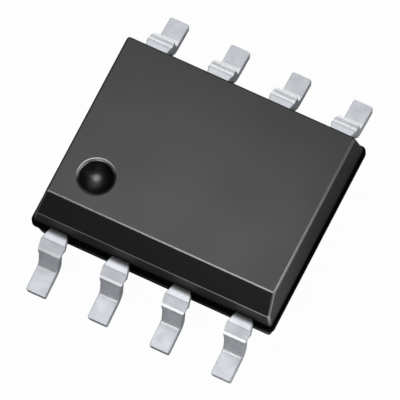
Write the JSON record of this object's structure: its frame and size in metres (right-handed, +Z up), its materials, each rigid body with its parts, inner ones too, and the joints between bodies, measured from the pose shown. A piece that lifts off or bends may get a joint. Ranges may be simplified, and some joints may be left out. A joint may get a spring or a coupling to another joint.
{
  "type": "small-outline integrated circuit",
  "caption": "Small-outline integrated circuit: black moulded body with a bevelled side and an orientation dimple, and gull-wing leads along both long sides.",
  "frame": {"origin": "on the seating plane, under the middle of the body", "axes": "+X along the rows of leads, from lead 1 to lead 4; +Y from the row of leads 1 to 4 to the row of leads 5 to 8; +Z up, away from the board"},
  "size_m": [0.005, 0.006, 0.0016],
  "materials": {
    "mould_compound": "matt black epoxy moulding compound",
    "tinned_lead": "matt tin over copper",
    "copper_pad": "bare copper alloy",
    "silver_epoxy": "silver-filled epoxy",
    "silicon": "polished silicon",
    "gold_wire": "bright gold"
  },
  "bodies": {
    "root": {"body": "mould_compound", "lead_1": "tinned_lead", "lead_2": "tinned_lead", "lead_3": "tinned_lead", "lead_4": "tinned_lead", "lead_5": "tinned_lead", "lead_6": "tinned_lead", "lead_7": "tinned_lead", "lead_8": "tinned_lead", "die_pad": "copper_pad", "die_attach": "silver_epoxy", "die": "silicon", "bond_wire_1": "gold_wire", "bond_wire_2": "gold_wire", "bond_wire_3": "gold_wire", "bond_wire_4": "gold_wire", "bond_wire_5": "gold_wire", "bond_wire_6": "gold_wire", "bond_wire_7": "gold_wire", "bond_wire_8": "gold_wire"}
  },
  "joints": []
}
